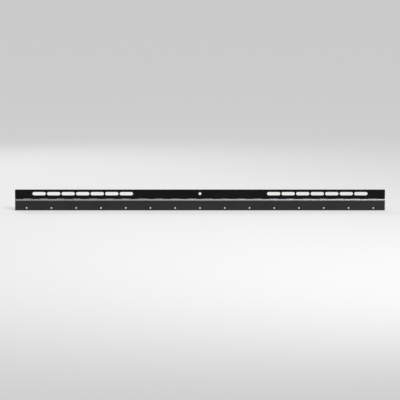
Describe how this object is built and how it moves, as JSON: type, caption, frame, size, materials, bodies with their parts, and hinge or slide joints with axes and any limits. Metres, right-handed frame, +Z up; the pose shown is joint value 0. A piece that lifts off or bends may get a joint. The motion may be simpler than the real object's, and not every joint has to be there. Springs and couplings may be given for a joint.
{
  "type": "piano hinge",
  "caption": "Continuous steel hinge: a slotted fixed leaf and a screw-hole swing leaf, rolled into alternating knuckles round a full-length pin.",
  "frame": {"origin": "middle of the pin's axis, half way along the hinge", "axes": "+X along the pin, +Z up the fixed leaf, +Y out of the leaves' backs; the barrel faces -Y"},
  "size_m": [1.12, 0.0063, 0.0636],
  "materials": {
    "black_coat": "black satin powder coat on the flat; the rolled knuckles are bright zinc",
    "charcoal_coat": "charcoal satin powder coat on the flat; the rolled knuckles are bright zinc",
    "zinc_steel": "bright zinc plate"
  },
  "bodies": {
    "fixed": {"fixed_leaf": "black_coat", "hinge_pin": "zinc_steel"},
    "swing": {"swing_leaf": "charcoal_coat"}
  },
  "joints": [
    {"name": "leaf_swing", "type": "hinge", "parent": "fixed", "child": "swing", "pos_m": [0, 0, 0], "axis": [-1, 0, 0], "range_deg": [-90, 180]}
  ]
}
